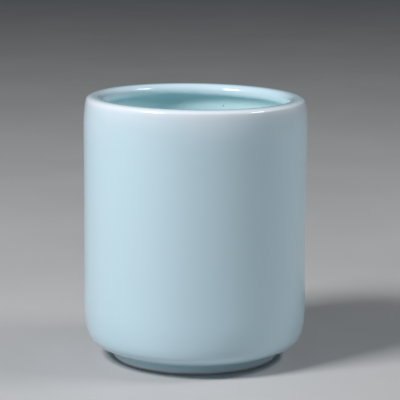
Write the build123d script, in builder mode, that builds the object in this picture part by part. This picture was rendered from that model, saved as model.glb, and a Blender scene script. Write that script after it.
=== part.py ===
from build123d import *
import os
from math import acos, atan, cos, degrees, radians, sin

os.makedirs("parts", exist_ok=True)

# A cylindrical porcelain brush pot with a celadon glaze.
# The origin is the centre of the foot ring, on the table; +Z is up.
# Every solid is turned about Z from one cross-section: x is radius, y is height.

# ---- Driving dimensions, millimetres and degrees ----
HEIGHT = 118.5              # table to the crown of the lip
OUTER_RADIUS = 50.0         # widest part of the glazed wall
GLAZE = 0.5                 # thickness of the glaze coat

# Wall
WAIST = 0.2                 # how far the wall draws in at mid height
BELLY_HEIGHT = 25.0         # the wall starts to curve in below this
INNER_RADIUS = 44.0         # inside of the wall, below the lip

# Lip: a broad low-domed bead, overhanging the wall inside
SHOULDER_RADIUS = 80.0      # long curve that leans the top of the wall in
SHOULDER_LEAN = 7.4         # how far it has leaned in when it reaches the roll
ROLL_RADIUS = 22.0          # quicker curve that rolls the shoulder into the lip
ROLL_TURN = 6.0
LIP_OUTER_ROUND = 1.6
LIP_OUTWARD_RADIUS = 5.0    # low dome of the top, on the way out from the crown
LIP_OUTWARD_TURN = 31.0
LIP_INWARD_RADIUS = 13.0    # and on the way in, where it is flatter
LIP_INWARD_TURN = 7.0
LIP_INNER_ROUND = 3.3
LIP_UNDER_ROUND = 3.0
UNDERCUT_ROUND = 6.0        # hollow curve from under the bead to the wall

# Lower corner, from the wall down to the foot: (radius, turn) of each arc
CORNER_ARCS = ((73.0, 8.0), (19.5, 12.0), (6.5, 32.0), (16.5, 28.0))

# Floor and foot ring
FLOOR_HEIGHT = 10.4         # top of the glazed floor
FLOOR_ROUND = 11.0          # curve between the floor and the wall, inside
FOOT_OUTER_RADIUS = 37.3
FOOT_INNER_RADIUS = 32.8
FOOT_JOINT_ROUND = 0.9      # hollow curve where the foot meets the underside
RECESS_HEIGHT = 3.2         # ceiling of the hollow inside the foot ring
RECESS_ROUND = 1.4
GLAZE_LINE = 0.8            # the glaze is wiped off the foot below this height
FOOT_EDGE_ROUND = 0.3       # worn edges of the bare foot

# ---- Derived places on the cross-section ----
lip_lean = SHOULDER_LEAN + ROLL_TURN
crown_radius = (
    OUTER_RADIUS
    - SHOULDER_RADIUS * (1 - cos(radians(SHOULDER_LEAN)))
    - ROLL_RADIUS * (cos(radians(SHOULDER_LEAN)) - cos(radians(lip_lean)))
    - LIP_OUTER_ROUND * (cos(radians(lip_lean)) - sin(radians(LIP_OUTWARD_TURN)))
    - LIP_OUTWARD_RADIUS * sin(radians(LIP_OUTWARD_TURN))
)
mouth_radius = (
    crown_radius
    - LIP_INWARD_RADIUS * sin(radians(LIP_INWARD_TURN))
    - LIP_INNER_ROUND * (1 - sin(radians(LIP_INWARD_TURN)))
)
bead_height = (
    HEIGHT
    - LIP_INWARD_RADIUS * (1 - cos(radians(LIP_INWARD_TURN)))
    - LIP_INNER_ROUND * cos(radians(LIP_INWARD_TURN))
)
undercut_turn = degrees(
    acos(1 - (INNER_RADIUS - mouth_radius) / (LIP_UNDER_ROUND + UNDERCUT_ROUND))
)
wall_tilt = degrees(atan(4 * WAIST / (HEIGHT - BELLY_HEIGHT)))
foot_outer_clay = FOOT_OUTER_RADIUS - GLAZE
foot_inner_clay = FOOT_INNER_RADIUS + GLAZE


def arc_chain(start, tangent, arcs):
    """Draw arcs end to end, each tangent to the last, and return the end point and direction."""
    for radius, turn in arcs:
        arc = JernArc(start=start, tangent=tangent, radius=radius, arc_size=turn)
        start = arc @ 1
        tangent = arc % 1
    return start, tangent


# ---- Cross-section of the glazed pot ----
with BuildSketch(Plane.XZ) as fired_section:
    with BuildLine():
        crown = Vector(crown_radius, HEIGHT)

        # Outside, from the crown of the lip down to the foot
        shoulder_end, shoulder_tangent = arc_chain(
            crown,
            (1, 0),
            (
                (LIP_OUTWARD_RADIUS, -LIP_OUTWARD_TURN),
                (LIP_OUTER_ROUND, LIP_OUTWARD_TURN + lip_lean - 90),
                (ROLL_RADIUS, -ROLL_TURN),
                (SHOULDER_RADIUS, -SHOULDER_LEAN - wall_tilt),
            ),
        )
        wall = TangentArc(
            shoulder_end,
            (shoulder_end.X, BELLY_HEIGHT),
            tangent=shoulder_tangent,
        )
        underside_end, underside_tangent = arc_chain(
            wall @ 1,
            wall % 1,
            [(radius, -turn) for radius, turn in CORNER_ARCS],
        )

        # Straight on under the pot, then the foot ring and the hollow under the floor
        underside_run = (underside_end.X - FOOT_OUTER_RADIUS) / -underside_tangent.X
        foot_top = underside_end + underside_tangent * underside_run
        Polyline(
            underside_end,
            foot_top,
            (FOOT_OUTER_RADIUS, 0),
            (FOOT_INNER_RADIUS, 0),
            (FOOT_INNER_RADIUS, RECESS_HEIGHT),
            (0, RECESS_HEIGHT),
            (0, FLOOR_HEIGHT),
            (INNER_RADIUS - FLOOR_ROUND, FLOOR_HEIGHT),
        )

        # Inside, from the crown over the bead and down to the floor
        undercut_end, undercut_tangent = arc_chain(
            crown,
            (-1, 0),
            (
                (LIP_INWARD_RADIUS, LIP_INWARD_TURN),
                (LIP_INNER_ROUND, 90 - LIP_INWARD_TURN),
                (LIP_UNDER_ROUND, undercut_turn),
                (UNDERCUT_ROUND, -undercut_turn),
            ),
        )
        inner_wall = Line(undercut_end, (INNER_RADIUS, FLOOR_HEIGHT + FLOOR_ROUND))
        JernArc(
            start=inner_wall @ 1,
            tangent=inner_wall % 1,
            radius=FLOOR_ROUND,
            arc_size=-90,
        )
    make_face()
    foot_joint = vertices().sort_by_distance(foot_top)[0]
    fillet(foot_joint, FOOT_JOINT_ROUND)
    recess_corner = vertices().sort_by_distance((FOOT_INNER_RADIUS, RECESS_HEIGHT))[0]
    fillet(recess_corner, RECESS_ROUND)

# ---- Cross-section of the clay alone ----
with BuildSketch(Plane.XZ) as clay_section:
    # Both halves are drawn, so that the inset takes nothing off at the axis
    add(fired_section.sketch_local)
    mirror(about=Plane.YZ)
    offset(amount=-GLAZE)
    # The foot is bare, so its clay reaches the table
    with Locations((foot_inner_clay, 0)):
        Rectangle(
            foot_outer_clay - foot_inner_clay,
            RECESS_HEIGHT - RECESS_ROUND,
            align=(Align.MIN, Align.MIN),
        )
    # Keep the half that is turned
    Rectangle(
        2 * OUTER_RADIUS,
        2 * HEIGHT,
        align=(Align.MIN, Align.CENTER),
        mode=Mode.INTERSECT,
    )
    fillet(vertices().group_by(Axis.Y)[0], FOOT_EDGE_ROUND)

# ---- Cross-section of all the glaze ----
with BuildSketch(Plane.XZ) as glaze_section:
    add(fired_section.sketch_local)
    add(clay_section.sketch_local, mode=Mode.SUBTRACT)
    Rectangle(
        2 * OUTER_RADIUS,
        GLAZE_LINE,
        align=(Align.MIN, Align.MIN),
        mode=Mode.SUBTRACT,
    )


def cavity_zone(mode):
    """The region inside the pot, up to where the poured glaze meets the outside coat."""
    zone_floor = FLOOR_HEIGHT - 2 * GLAZE
    with Locations((0, zone_floor)):
        Rectangle(
            INNER_RADIUS + 2 * GLAZE,
            bead_height - zone_floor,
            align=(Align.MIN, Align.MIN),
            mode=mode,
        )


def recess_zone(mode):
    """The region inside the foot ring, under the floor."""
    Rectangle(
        (FOOT_INNER_RADIUS + FOOT_OUTER_RADIUS) / 2,
        RECESS_HEIGHT + 2 * GLAZE,
        align=(Align.MIN, Align.MIN),
        mode=mode,
    )


# ---- Porcelain body: floor, wall, lip and bare foot ring, one piece of clay ----
with BuildPart() as porcelain_body:
    add(clay_section.sketch)
    revolve(axis=Axis.Z)

# ---- Glaze poured inside: floor and wall, up to the bead of the lip ----
with BuildPart() as inner_glaze:
    with BuildSketch(Plane.XZ):
        add(glaze_section.sketch_local)
        cavity_zone(Mode.INTERSECT)
    revolve(axis=Axis.Z)

# ---- Glaze sprayed outside: over the lip, down the wall to the glaze line ----
with BuildPart() as outer_glaze:
    with BuildSketch(Plane.XZ):
        add(glaze_section.sketch_local)
        cavity_zone(Mode.SUBTRACT)
        recess_zone(Mode.SUBTRACT)
    revolve(axis=Axis.Z)

# ---- Glaze brushed into the hollow under the floor ----
with BuildPart() as base_glaze:
    with BuildSketch(Plane.XZ):
        add(glaze_section.sketch_local)
        recess_zone(Mode.INTERSECT)
    revolve(axis=Axis.Z)

# ---- One STEP file for each piece ----
porcelain_body.part.label = "porcelain_body"
inner_glaze.part.label = "inner_glaze"
outer_glaze.part.label = "outer_glaze"
base_glaze.part.label = "base_glaze"

export_step(porcelain_body.part, "parts/porcelain_body.step")
export_step(inner_glaze.part, "parts/inner_glaze.step")
export_step(outer_glaze.part, "parts/outer_glaze.step")
export_step(base_glaze.part, "parts/base_glaze.step")
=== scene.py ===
import math

import bpy
import numpy as np
from mathutils import Matrix, Vector


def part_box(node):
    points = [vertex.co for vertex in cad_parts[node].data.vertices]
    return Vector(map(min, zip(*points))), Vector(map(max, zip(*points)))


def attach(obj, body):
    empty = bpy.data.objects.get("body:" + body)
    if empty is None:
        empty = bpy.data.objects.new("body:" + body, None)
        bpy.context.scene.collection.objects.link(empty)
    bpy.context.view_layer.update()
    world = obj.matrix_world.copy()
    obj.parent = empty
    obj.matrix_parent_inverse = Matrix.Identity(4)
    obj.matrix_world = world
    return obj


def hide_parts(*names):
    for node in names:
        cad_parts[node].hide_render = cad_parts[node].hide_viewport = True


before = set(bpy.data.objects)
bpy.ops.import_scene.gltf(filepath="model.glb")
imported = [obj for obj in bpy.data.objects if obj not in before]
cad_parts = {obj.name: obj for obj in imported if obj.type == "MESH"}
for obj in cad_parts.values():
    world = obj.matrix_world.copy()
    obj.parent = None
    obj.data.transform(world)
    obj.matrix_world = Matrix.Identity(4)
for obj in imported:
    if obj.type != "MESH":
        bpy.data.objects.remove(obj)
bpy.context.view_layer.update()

# A celadon brush pot. Lengths are metres and angles radians, unless a comment says otherwise.
# Every surface is turned about Z from a line of (radius, height) points, which runs with the clay
# on its left. Angles along a line are anticlockwise from outward, away from the axis.

MM = 0.001
TURN = 2 * math.pi
OUTWARD, UPWARD, DOWNWARD = 0, TURN / 4, -TURN / 4

# ---- Sizes read from the frame ----
outer_low, outer_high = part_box("outer_glaze")
inner_low, inner_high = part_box("inner_glaze")
_, base_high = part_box("base_glaze")
_, clay_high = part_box("porcelain_body")

HEIGHT = outer_high.z
OUTER_RADIUS = outer_high.x
GLAZE = HEIGHT - clay_high.z
GLAZE_LINE = outer_low.z
SEAM_HEIGHT = inner_high.z
INNER_RADIUS = inner_high.x - GLAZE
FLOOR_HEIGHT = inner_low.z + GLAZE
RECESS_HEIGHT = base_high.z - GLAZE
FOOT_INNER_RADIUS = base_high.x - GLAZE

# ---- Curves of the cross-section, the same as in the CAD model ----
WAIST = 0.2 * MM
BELLY_HEIGHT = 25 * MM
SHOULDER_RADIUS = 80 * MM
SHOULDER_LEAN = math.radians(7.4)
ROLL_RADIUS = 22 * MM
ROLL_TURN = math.radians(6)
LIP_OUTER_ROUND = 1.6 * MM
LIP_OUTWARD_RADIUS = 5 * MM
LIP_OUTWARD_TURN = math.radians(31)
LIP_INWARD_RADIUS = 13 * MM
LIP_INWARD_TURN = math.radians(7)
LIP_INNER_ROUND = 3.3 * MM
LIP_UNDER_ROUND = 3 * MM
UNDERCUT_ROUND = 6 * MM
CORNER_ARCS = ((73 * MM, 8), (19.5 * MM, 12), (6.5 * MM, 32), (16.5 * MM, 28))  # (radius, degrees)
FLOOR_ROUND = 11 * MM
FOOT_OUTER_RADIUS = 37.3 * MM
FOOT_JOINT_ROUND = 0.9 * MM
RECESS_ROUND = 1.4 * MM
FOOT_EDGE_ROUND = 0.3 * MM

# ---- How finely the surfaces are turned ----
SEGMENTS = 360
ARC_STEP = math.radians(3.5)
LINE_STEP = 2.5 * MM
EDGE_STEP = 0.4 * MM
ON_AXIS = 1e-9              # a point with a smaller radius than this lies on the axis
SHARP_ANGLE = math.radians(50)  # a harder corner than this isn't shaded smooth
HIDDEN_SHARE = 5            # the side of a coat that lies on the clay keeps one point in this many

# ---- Warp: how far the pot is off its drawing, while staying inside the drawing's box ----
# Firing leaves errors of this kind. The amounts were fitted to the outline of the pot that this
# one copies, so they may also hold a small error of the camera.
WARP_START = 20 * MM
FOOT_TOP = 5 * MM           # the foot stands flat, and the tilt comes in above it
RIM_DROP = 0.47 * MM
RIM_TILT = 0.0081           # the rim falls this much per unit of distance towards +X
RIM_TILT_BACK = 0.0052      # and towards +Y
OVAL = 0.12 * MM
BOW = 0.05 * MM             # the wall leans this much towards -X at mid height
LOBES = ((3, 0.05 * MM, 0.7), (5, 0.025 * MM, 2.1))    # (waves round the pot, depth, phase)
LINE_WANDER = 0.16 * MM     # how far the wiped glaze line strays up and down
WANDER_WAVES = ((5, 0.4, 1.3), (11, 0.35, 0.2), (23, 0.25, 4.0))  # (waves round, share, phase)
WANDER_FADE = 2 * MM        # above the line, the coat stops following it within this height

# ---- Where the molten glaze went: thin on what bulges, deep in what is hollow ----
DEPTH_EVEN = 0.5
DEPTH_LOST = 1.6 * MM ** 2  # for each unit of outward bend, 1 / radius, squared
DEPTH_POOLED = 0.8 * MM     # for each unit of hollow bend
DEPTH_SPREAD = 0.8 * MM
DEPTH_RUN = 0.06            # extra depth at the bottom, from running down the wall
DRAINED_AND_GLOW = 0.46              # depth lost outside, just below the lip: partly thin glaze, partly a painted glow of light passing through the lip
DRAIN_AND_GLOW_LENGTH = 9 * MM       # how fast that loss and the painted glow fade down the wall


# ================================================================ cross-sections

def add_arc(line, heading, radius, turn):
    """Continue the line with an arc tangent to heading. A positive turn is anticlockwise."""
    side = math.copysign(1, turn)
    x, z = line[-1]
    centre = (x - side * radius * math.sin(heading), z + side * radius * math.cos(heading))
    steps = max(math.ceil(abs(turn) / ARC_STEP), math.ceil(abs(turn) * radius / LINE_STEP))
    for step in range(1, steps + 1):
        angle = heading + turn * step / steps
        line.append((
            centre[0] + side * radius * math.sin(angle),
            centre[1] - side * radius * math.cos(angle),
        ))
    return heading + turn


def add_straight(line, end, longest=LINE_STEP):
    """Continue the line straight to end, in even steps."""
    start = line[-1]
    steps = max(1, math.ceil(math.dist(start, end) / longest))
    for step in range(1, steps + 1):
        share = step / steps
        line.append((
            start[0] + (end[0] - start[0]) * share,
            start[1] + (end[1] - start[1]) * share,
        ))


def crown_radius():
    lean = SHOULDER_LEAN + ROLL_TURN
    shoulder = SHOULDER_RADIUS * (1 - math.cos(SHOULDER_LEAN))
    roll = ROLL_RADIUS * (math.cos(SHOULDER_LEAN) - math.cos(lean))
    lip = LIP_OUTER_ROUND * (math.cos(lean) - math.sin(LIP_OUTWARD_TURN))
    lip += LIP_OUTWARD_RADIUS * math.sin(LIP_OUTWARD_TURN)
    return OUTER_RADIUS - shoulder - roll - lip


def mouth_radius():
    top = math.sin(LIP_INWARD_TURN)
    return crown_radius() - LIP_INWARD_RADIUS * top - LIP_INNER_ROUND * (1 - top)


def outside_line():
    """The glaze from its edge on the foot, up the wall and over the lip to the seam inside it."""
    line = [(mouth_radius(), SEAM_HEIGHT)]
    heading = add_arc(line, UPWARD, LIP_INNER_ROUND, LIP_INWARD_TURN - TURN / 4)
    heading = add_arc(line, heading, LIP_INWARD_RADIUS, -LIP_INWARD_TURN)
    heading = add_arc(line, heading, LIP_OUTWARD_RADIUS, -LIP_OUTWARD_TURN)
    round_turn = TURN / 4 - LIP_OUTWARD_TURN - ROLL_TURN - SHOULDER_LEAN
    heading = add_arc(line, heading, LIP_OUTER_ROUND, -round_turn)
    heading = add_arc(line, heading, ROLL_RADIUS, -ROLL_TURN)
    tilt = math.atan(4 * WAIST / (HEIGHT - BELLY_HEIGHT))
    heading = add_arc(line, heading, SHOULDER_RADIUS, -SHOULDER_LEAN - tilt)
    wall = line[-1][1] - BELLY_HEIGHT
    heading = add_arc(line, heading, wall / 2 / math.sin(tilt), 2 * tilt)
    for radius, degrees in CORNER_ARCS:
        heading = add_arc(line, heading, radius, -math.radians(degrees))
    joint_start = FOOT_OUTER_RADIUS + FOOT_JOINT_ROUND * (1 + math.sin(heading))
    run = line[-1][0] - joint_start
    add_straight(line, (joint_start, line[-1][1] - run * math.tan(heading)))
    add_arc(line, heading, FOOT_JOINT_ROUND, DOWNWARD - heading)
    add_straight(line, (FOOT_OUTER_RADIUS, GLAZE_LINE + GLAZE), EDGE_STEP)
    add_arc(line, DOWNWARD, GLAZE, -TURN / 4)
    return line[::-1]


def inside_line():
    """The glaze from the seam, under the bead, down the wall and across the floor to the axis."""
    line = [(mouth_radius(), SEAM_HEIGHT)]
    recess = INNER_RADIUS - line[0][0]
    turn = math.acos(1 - recess / (LIP_UNDER_ROUND + UNDERCUT_ROUND))
    heading = add_arc(line, DOWNWARD, LIP_UNDER_ROUND, turn)
    add_arc(line, heading, UNDERCUT_ROUND, -turn)
    add_straight(line, (INNER_RADIUS, FLOOR_HEIGHT + FLOOR_ROUND))
    add_arc(line, DOWNWARD, FLOOR_ROUND, -TURN / 4)
    add_straight(line, (0, FLOOR_HEIGHT))
    return line


def recess_line():
    """The glaze under the floor, from the axis out and down the inside of the foot to its edge."""
    line = [(0, RECESS_HEIGHT)]
    add_straight(line, (FOOT_INNER_RADIUS - RECESS_ROUND, RECESS_HEIGHT))
    add_arc(line, OUTWARD, RECESS_ROUND, -TURN / 4)
    add_straight(line, (FOOT_INNER_RADIUS, GLAZE_LINE + GLAZE), EDGE_STEP)
    add_arc(line, DOWNWARD, GLAZE, TURN / 4)
    return line


def foot_line():
    """The bare clay of the foot ring, from its inner glaze edge to its outer one."""
    inner = FOOT_INNER_RADIUS + GLAZE
    outer = FOOT_OUTER_RADIUS - GLAZE
    line = [(inner, GLAZE_LINE + GLAZE)]
    add_straight(line, (inner, FOOT_EDGE_ROUND), EDGE_STEP)
    add_arc(line, DOWNWARD, FOOT_EDGE_ROUND, TURN / 4)
    add_straight(line, (outer - FOOT_EDGE_ROUND, 0), EDGE_STEP)
    add_arc(line, OUTWARD, FOOT_EDGE_ROUND, TURN / 4)
    add_straight(line, (outer, GLAZE_LINE + GLAZE), EDGE_STEP)
    return line


def headings(line):
    """Direction of the line at each point, as unit vectors."""
    steps = np.diff(np.array(line), axis=0)
    steps /= np.linalg.norm(steps, axis=1)[:, None]
    along = np.vstack((steps[:1], steps[:-1] + steps[1:], steps[-1:]))
    return along / np.linalg.norm(along, axis=1)[:, None]


def clay_side(line):
    """The line where a coat lies on the clay, one glaze thickness to the left of its surface."""
    along = headings(line)
    points = np.array(line) + GLAZE * np.column_stack((-along[:, 1], along[:, 0]))
    keep = list(range(0, len(points), HIDDEN_SHARE))
    if keep[-1] != len(points) - 1:
        keep.append(len(points) - 1)
    return [tuple(p) for p in points[keep]]


def glaze_depth_and_glow(line):
    """How deep the glaze lies at each point of a line, from 0, thin, to 1, pooled. Outside, just below the
    lip, it is also made thinner and so paler, as a painted glow of light passing through the lip.
    """
    points = np.array(line)
    steps = np.linalg.norm(np.diff(points, axis=0), axis=1)
    place = np.concatenate(([0], np.cumsum(steps)))
    share = (np.append(steps, 0) + np.insert(steps, 0, 0)) / 2
    along = headings(line)
    angle = np.unwrap(np.arctan2(along[:, 1], along[:, 0]))
    bend = np.gradient(angle, place)
    near = np.exp(-0.5 * ((place[:, None] - place) / DEPTH_SPREAD) ** 2) * share
    bend = near @ bend / near.sum(axis=1)
    run = DEPTH_RUN * (1 - points[:, 1] / HEIGHT)
    outside_wall = np.clip((points[:, 0] - crown_radius()) / (OUTER_RADIUS - crown_radius()), 0, 1)
    # Painted glow: the band below the outside of the lip is made paler, partly for thin glaze and partly
    # for light passing through the lip
    thinned_and_glow = DRAINED_AND_GLOW * outside_wall * np.exp((points[:, 1] - HEIGHT) / DRAIN_AND_GLOW_LENGTH)
    thinned_and_glow += DEPTH_LOST * np.maximum(bend, 0) ** 2
    pooled = run + DEPTH_POOLED * np.maximum(-bend, 0)
    return np.clip(DEPTH_EVEN + pooled - thinned_and_glow, 0, 1)


# ================================================================ turned surfaces

def warped(points):
    """The drawn points, moved by the warp."""
    x, y, z = points.T
    angle = np.arctan2(y, x)
    rise = np.clip((z - WARP_START) / (HEIGHT - WARP_START), 0, 1)
    tilt = RIM_TILT * (rise + np.clip(z / FOOT_TOP, 0, 1)) / 2
    inward = OVAL * (1 - np.cos(2 * angle)) / 2
    for waves, depth, phase in LOBES:
        inward += depth * (1 - np.cos(waves * angle + phase)) / 2
    scale = 1 - rise * inward / OUTER_RADIUS
    bow = BOW * np.sin(TURN / 2 * rise)
    fall = rise * (RIM_DROP + RIM_TILT_BACK * y) + tilt * x
    return np.column_stack((x * scale - bow, y * scale, z - fall))


def turned(name, line, depth=None, wander=None):
    """A mesh turned about Z from a closed cross-section. wander says which points follow the
    wiped glaze line, from 0 to 1."""
    angles = np.arange(SEGMENTS) * TURN / SEGMENTS
    stray = sum(share * np.sin(waves * angles + phase) for waves, share, phase in WANDER_WAVES)
    rings = []
    verts = []
    depths = []
    count = 0
    for i, (radius, height) in enumerate(line):
        on_axis = radius < ON_AXIS
        size = 1 if on_axis else SEGMENTS
        ring = np.zeros((size, 3))
        if not on_axis:
            ring[:, 0] = radius * np.cos(angles)
            ring[:, 1] = radius * np.sin(angles)
        ring[:, 2] = height
        if wander is not None and not on_axis:
            ring[:, 2] += wander[i] * LINE_WANDER * stray
        verts.append(ring)
        rings.append((count, size))
        depths.extend([0.0 if depth is None else depth[i]] * size)
        count += size
    faces = []
    for (a, a_size), (b, b_size) in zip(rings, rings[1:] + rings[:1]):
        if a_size == b_size == 1:
            continue
        for j in range(SEGMENTS):
            k = (j + 1) % SEGMENTS
            if a_size == 1:
                faces.append((a, b + j, b + k))
            elif b_size == 1:
                faces.append((a + j, b, a + k))
            else:
                faces.append((a + j, b + j, b + k, a + k))
    mesh = bpy.data.meshes.new(name)
    mesh.from_pydata(warped(np.vstack(verts)).tolist(), [], faces)
    mesh.shade_smooth()
    mesh.set_sharp_from_angle(angle=SHARP_ANGLE)
    if depth is not None:
        mesh.attributes.new("glaze_depth_and_glow", "FLOAT", "POINT").data.foreach_set("value", depths)
    mesh.validate()
    piece = bpy.data.objects.new(name, mesh)
    bpy.context.scene.collection.objects.link(piece)
    return piece


def edge_follow(line):
    """How closely each point follows the wiped glaze line: wholly at it, not at all higher up."""
    heights = np.array(line)[:, 1]
    return np.clip(1 - (heights - GLAZE_LINE) / WANDER_FADE, 0, 1) ** 2


def coat(name, surface, depth):
    """A coat of glaze: its shining surface, and behind it the face that lies on the clay."""
    back = clay_side(surface)[::-1]
    section = list(surface) + back
    depths = list(depth) + [DEPTH_EVEN] * len(back)
    return turned(name, section, depths, edge_follow(section))


outside = outside_line()
inside = inside_line()
recess = recess_line()
foot = foot_line()

over_the_lip = outside + inside[1:]
depth_and_glow_over_the_lip = glaze_depth_and_glow(over_the_lip)
seam = len(outside) - 1

outer_coat = coat("outer_celadon_coat", outside, depth_and_glow_over_the_lip[:seam + 1])
inner_coat = coat("inner_celadon_coat", inside, depth_and_glow_over_the_lip[seam:])
base_coat = coat("base_celadon_coat", recess, glaze_depth_and_glow(recess))
clay = turned(
    "porcelain_clay",
    clay_side(recess)[:-2] + foot + clay_side(outside)[2:] + clay_side(inside)[1:],
)


# ================================================================ materials

class Nodes:
    """A material's node tree, with short calls to add and join nodes."""

    def __init__(self, name):
        self.material = bpy.data.materials.new(name)
        self.material.use_nodes = True
        self.tree = self.material.node_tree
        self.shader = self.tree.nodes["Principled BSDF"]
        self.place = self.add("ShaderNodeTexCoord").outputs["Object"]

    def add(self, kind, inputs=None, **settings):
        node = self.tree.nodes.new(kind)
        for key, value in settings.items():
            setattr(node, key, value)
        for key, value in (inputs or {}).items():
            if isinstance(value, bpy.types.NodeSocket):
                self.tree.links.new(value, node.inputs[key])
            else:
                node.inputs[key].default_value = value
        return node

    def noise(self, per_metre, detail, roughness=0.5):
        node = self.add(
            "ShaderNodeTexNoise",
            {"Vector": self.place, "Scale": per_metre, "Detail": detail, "Roughness": roughness},
        )
        return node.outputs["Fac"]

    def cells(self, per_metre):
        return self.add("ShaderNodeTexVoronoi", {"Vector": self.place, "Scale": per_metre})

    def math(self, operation, a, b, clamp=False):
        return self.add("ShaderNodeMath", {0: a, 1: b}, operation=operation, use_clamp=clamp).outputs[0]

    def remap(self, value, low, high, to_low, to_high):
        """The value, stretched so that low becomes to_low and high becomes to_high."""
        return self.add(
            "ShaderNodeMapRange",
            {"Value": value, "From Min": low, "From Max": high, "To Min": to_low, "To Max": to_high},
        ).outputs["Result"]

    def ramp(self, value, stops):
        node = self.add("ShaderNodeValToRGB", {"Fac": value})
        elements = node.color_ramp.elements
        while len(elements) < len(stops):
            elements.new(0.5)
        for element, (position, colour) in zip(elements, stops):
            element.position = position
            element.color = (*colour, 1)
        node.color_ramp.interpolation = "EASE"
        return node.outputs["Color"]

    def mix(self, share, a, b):
        node = self.add("ShaderNodeMix", data_type="RGBA")
        for key, value in (("Factor_Float", share), ("A_Color", a), ("B_Color", b)):
            socket = next(s for s in node.inputs if s.identifier == key)
            if isinstance(value, bpy.types.NodeSocket):
                self.tree.links.new(value, socket)
            else:
                socket.default_value = value if key == "Factor_Float" else (*value, 1)
        return next(s for s in node.outputs if s.identifier == "Result_Color")

    def bump(self, height, distance, normal=None):
        inputs = {"Height": height, "Distance": distance, "Strength": 1.0}
        if normal is not None:
            inputs["Normal"] = normal
        return self.add("ShaderNodeBump", inputs).outputs["Normal"]

    def set(self, socket, value):
        self.shader.inputs[socket].default_value = value

    def drive(self, socket, value):
        self.tree.links.new(value, self.shader.inputs[socket])


# Celadon, from where it lies thin to where it lies deep. The thin colour also paints the glow below the
# outside of the lip.
THIN_AND_GLOW_CELADON = (0.82, 0.89, 0.97)
EVEN_CELADON = (0.60, 0.80, 0.90)
DEEP_CELADON = (0.45, 0.75, 0.80)
# The inside colours are a brighter copy of the outside glaze: painted light that fills the cavity. The
# deep one is also greener, for glaze pooled in the undercut.
INSIDE_CELADON_PAINTED_BRIGHTER = (0.66, 0.86, 0.90)
INSIDE_DEEP_CELADON = (0.50, 0.81, 0.76)
BUBBLE_PALE = (0.86, 0.93, 0.95)
IRON_SPECK = (0.10, 0.09, 0.06)

# Most of a noise texture lies between these two values
NOISE_LOW = 0.3
NOISE_HIGH = 0.7

# The glaze's detail. Scales are features per metre.
DRIFT_SCALE = 22
CLOUD_SCALE = 130
BUBBLE_SCALE = 1500
BUBBLE_RADIUS = 0.35        # as a share of the bubbles' spacing
SPECK_SCALE = 70
SPECK_CORE = 0.008          # radii, as shares of the specks' spacing
SPECK_RIM = 0.014
SPECK_PICK = 0.93           # a cell has a speck if its random value, 0 to 1, is over this
SPECK_STRENGTH = 0.75
SPECK_PLACE = (12.9 * MM, 41.9 * MM, 107.8 * MM)    # the one that shows, inside on the far wall
SHOWN_CORE = 0.1 * MM       # and its radii
SHOWN_RIM = 0.5 * MM
BODY_SCALE = 260            # changes of roughness under the clear skin
BODY_ROUGHNESS = (0.40, 0.50)
BODY_SPECULAR = 0.2
SKIN_ROUGHNESS = 0.05
SKIN_IOR = 1.5
RIPPLE_SCALE = 150
RIPPLE_HEIGHT = 0.02 * MM
PITTING_SCALE = 900
PITTING_HEIGHT = 0.0015 * MM

# Bare porcelain, from the pits of its grain to the tops
PORCELAIN_DARK = (0.66, 0.63, 0.58)
PORCELAIN_PALE = (0.80, 0.78, 0.74)
SOIL = (0.36, 0.31, 0.26)
GRAIN_SCALE = 2600
GRAIN_HEIGHT = 0.02 * MM
PATCH_SCALE = 90
RUBBED_HEIGHT = 0.25 * MM   # the foot is soiled below this
RUBBED_SHARE = 0.35
PORCELAIN_ROUGHNESS = (0.62, 0.85)
PORCELAIN_SPECULAR = 0.35

# The floor's board
BOARD_DARK = (0.50, 0.50, 0.51)
BOARD_PALE = (0.53, 0.53, 0.54)
BOARD_SCALE = 9
TOOTH_SCALE = 1800
TOOTH_HEIGHT = 0.03 * MM
BOARD_ROUGHNESS = 0.7


def iron_specks(n):
    """How much of a dark speck shows at each place: rare ones anywhere, and the one at SPECK_PLACE."""
    cells = n.cells(SPECK_SCALE)
    near = n.remap(cells.outputs["Distance"], SPECK_CORE, SPECK_RIM, 1.0, 0.0)
    pick = n.add("ShaderNodeSeparateColor", {"Color": cells.outputs["Color"]}).outputs["Red"]
    rare = n.math("GREATER_THAN", pick, SPECK_PICK)
    reach = n.add("ShaderNodeVectorMath", {0: n.place, 1: SPECK_PLACE}, operation="DISTANCE")
    near_one = n.remap(reach.outputs["Value"], SHOWN_CORE, SHOWN_RIM, 1.0, 0.0)
    shown = n.math("MAXIMUM", n.math("MULTIPLY", near, rare), near_one)
    return n.math("MULTIPLY", shown, SPECK_STRENGTH)


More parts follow.
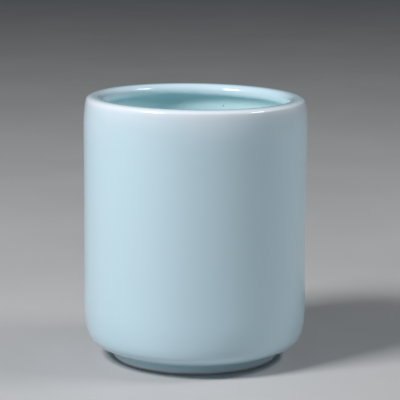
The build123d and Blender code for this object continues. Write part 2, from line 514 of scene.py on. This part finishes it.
def celadon(name, even, deep, cloud_share, bubble_share):
    """Glossy blue-green glaze whose colour follows its depth, with drifting tone, fine bubbles,
    rare iron specks and a faintly uneven skin."""
    n = Nodes(name)
    drift = n.remap(n.noise(DRIFT_SCALE, 2), NOISE_LOW, NOISE_HIGH, -cloud_share, cloud_share)
    half = cloud_share / 2
    cloud = n.remap(n.noise(CLOUD_SCALE, 3), NOISE_LOW, NOISE_HIGH, -half, half)
    depth = n.add("ShaderNodeAttribute", attribute_name="glaze_depth_and_glow").outputs["Fac"]
    depth = n.math("ADD", depth, n.math("ADD", drift, cloud), clamp=True)
    colour = n.ramp(depth, ((0.0, THIN_AND_GLOW_CELADON), (0.5, even), (1.0, deep)))
    bubble_reach = n.cells(BUBBLE_SCALE).outputs["Distance"]
    bubbles = n.remap(bubble_reach, 0.0, BUBBLE_RADIUS, bubble_share, 0.0)
    colour = n.mix(bubbles, colour, BUBBLE_PALE)
    colour = n.mix(iron_specks(n), colour, IRON_SPECK)
    n.drive("Base Color", colour)
    n.drive("Roughness", n.remap(n.noise(BODY_SCALE, 3), NOISE_LOW, NOISE_HIGH, *BODY_ROUGHNESS))
    n.set("Specular IOR Level", BODY_SPECULAR)
    n.set("Coat Weight", 1.0)
    n.set("Coat Roughness", SKIN_ROUGHNESS)
    n.set("Coat IOR", SKIN_IOR)
    ripple = n.bump(n.noise(RIPPLE_SCALE, 2), RIPPLE_HEIGHT)
    n.drive("Normal", n.bump(n.noise(PITTING_SCALE, 1), PITTING_HEIGHT, ripple))
    return n.material


def bare_porcelain(name):
    """Unglazed fired porcelain: matt, fine-grained, warm white, and a little soiled where it stands."""
    n = Nodes(name)
    grain = n.noise(GRAIN_SCALE, 4, 0.6)
    patches = n.noise(PATCH_SCALE, 3)
    colour = n.ramp(grain, ((NOISE_LOW, PORCELAIN_DARK), (NOISE_HIGH, PORCELAIN_PALE)))
    height = n.add("ShaderNodeSeparateXYZ", {"Vector": n.place}).outputs["Z"]
    rubbed = n.remap(height, 0.0, RUBBED_HEIGHT, RUBBED_SHARE, 0.0)
    soiled = n.math("MULTIPLY", rubbed, n.remap(patches, 0.35, 0.65, 0.2, 1.0))
    colour = n.mix(soiled, colour, SOIL)
    n.drive("Base Color", colour)
    n.drive("Roughness", n.remap(patches, NOISE_LOW, NOISE_HIGH, *PORCELAIN_ROUGHNESS))
    n.set("Specular IOR Level", PORCELAIN_SPECULAR)
    n.drive("Normal", n.bump(grain, GRAIN_HEIGHT))
    return n.material


def pale_board(name):
    """The plain floor: matt pale grey board with a barely visible tooth."""
    n = Nodes(name)
    colour = n.ramp(n.noise(BOARD_SCALE, 3), ((NOISE_LOW, BOARD_DARK), (NOISE_HIGH, BOARD_PALE)))
    n.drive("Base Color", colour)
    n.drive("Normal", n.bump(n.noise(TOOTH_SCALE, 3), TOOTH_HEIGHT))
    n.set("Roughness", BOARD_ROUGHNESS)
    return n.material


def finish_piece(piece, node, material):
    piece.data.materials.append(material)
    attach(piece, "root")
    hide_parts(node)


outside_glaze = celadon("celadon_outside", EVEN_CELADON, DEEP_CELADON, cloud_share=0.05, bubble_share=0.10)
# The inside glaze is painted brighter than the outside one, as light filling the cavity
inside_glaze_painted_brighter = celadon(
    "celadon_inside_painted_brighter", INSIDE_CELADON_PAINTED_BRIGHTER, INSIDE_DEEP_CELADON, cloud_share=0.07, bubble_share=0.12
)
base_glaze = celadon("celadon_base", EVEN_CELADON, DEEP_CELADON, cloud_share=0.10, bubble_share=0.12)
finish_piece(outer_coat, "outer_glaze", outside_glaze)
finish_piece(inner_coat, "inner_glaze", inside_glaze_painted_brighter)
finish_piece(base_coat, "base_glaze", base_glaze)
finish_piece(clay, "porcelain_body", bare_porcelain("bare_porcelain"))


# ================================================================ stage, light and camera

FLOOR_HALF_WIDTH = 2.5
LIGHT_DISTANCE = 1.3
SENSOR_WIDTH = 36           # millimetres, as is the lens
LENS = 176.1
NEAREST, FARTHEST = 0.05, 20
CAMERA_PLACE = (0, -862.3 * MM, 236.1 * MM)
CAMERA_PITCH = math.radians(10.84)  # downward
CAMERA_YAW = math.radians(0.142)
CAMERA_ROLL = math.radians(0.353)
BOUNCES = 16
DIFFUSE_BOUNCES = 14        # enough for light to fill the cavity


def floor_sheet(half_width):
    mesh = bpy.data.meshes.new("floor")
    signs = ((-1, -1), (1, -1), (1, 1), (-1, 1))
    corners = [(x * half_width, y * half_width, 0) for x, y in signs]
    mesh.from_pydata(corners, [], [(0, 1, 2, 3)])
    floor = bpy.data.objects.new("floor", mesh)
    bpy.context.scene.collection.objects.link(floor)
    floor.data.materials.append(pale_board("pale_board"))


def direction(azimuth, elevation):
    """Unit vector from the pot; azimuth is degrees to the right of straight at the viewer."""
    a = math.radians(azimuth)
    e = math.radians(elevation)
    return Vector((math.sin(a) * math.cos(e), -math.cos(a) * math.cos(e), math.sin(e)))


def softbox(name, azimuth, elevation, width, height, power):
    """A white rectangular area light aimed at the middle of the pot. Its angles are degrees and
    its power is watts."""
    light = bpy.data.lights.new(name, "AREA")
    light.shape = "RECTANGLE"
    light.size = width
    light.size_y = height
    light.energy = power
    lamp = bpy.data.objects.new(name, light)
    target = Vector((0, 0, HEIGHT / 2))
    lamp.location = target + direction(azimuth, elevation) * LIGHT_DISTANCE
    lamp.rotation_mode = "QUATERNION"
    lamp.rotation_quaternion = (target - lamp.location).to_track_quat("-Z", "Y")
    bpy.context.scene.collection.objects.link(lamp)


def camera():
    data = bpy.data.cameras.new("camera")
    data.sensor_width = SENSOR_WIDTH
    data.lens = LENS
    data.clip_start = NEAREST
    data.clip_end = FARTHEST
    cam = bpy.data.objects.new("camera", data)
    yaw = Matrix.Rotation(-CAMERA_YAW, 4, "Z")
    pitch = Matrix.Rotation(TURN / 4 - CAMERA_PITCH, 4, "X")
    roll = Matrix.Rotation(CAMERA_ROLL, 4, "Z")
    cam.matrix_world = Matrix.Translation(CAMERA_PLACE) @ (yaw @ pitch) @ roll
    bpy.context.scene.collection.objects.link(cam)
    bpy.context.scene.camera = cam


def surroundings(colour, strength):
    world = bpy.data.worlds.new("studio")
    world.use_nodes = True
    background = world.node_tree.nodes["Background"]
    background.inputs["Color"].default_value = (*colour, 1)
    background.inputs["Strength"].default_value = strength
    bpy.context.scene.world = world


floor_sheet(FLOOR_HALF_WIDTH)
softbox("key_left", -55, 46, 0.36, 0.36, 15.3)
softbox("side_right", 86, 46, 0.46, 0.18, 4.9)
softbox("fill_right", 108, 25, 0.90, 0.90, 0.7)
surroundings((0.75, 0.9, 1.0), 0.06)
camera()
bpy.context.scene.view_settings.view_transform = "Standard"
bpy.context.scene.cycles.max_bounces = BOUNCES
bpy.context.scene.cycles.diffuse_bounces = DIFFUSE_BOUNCES
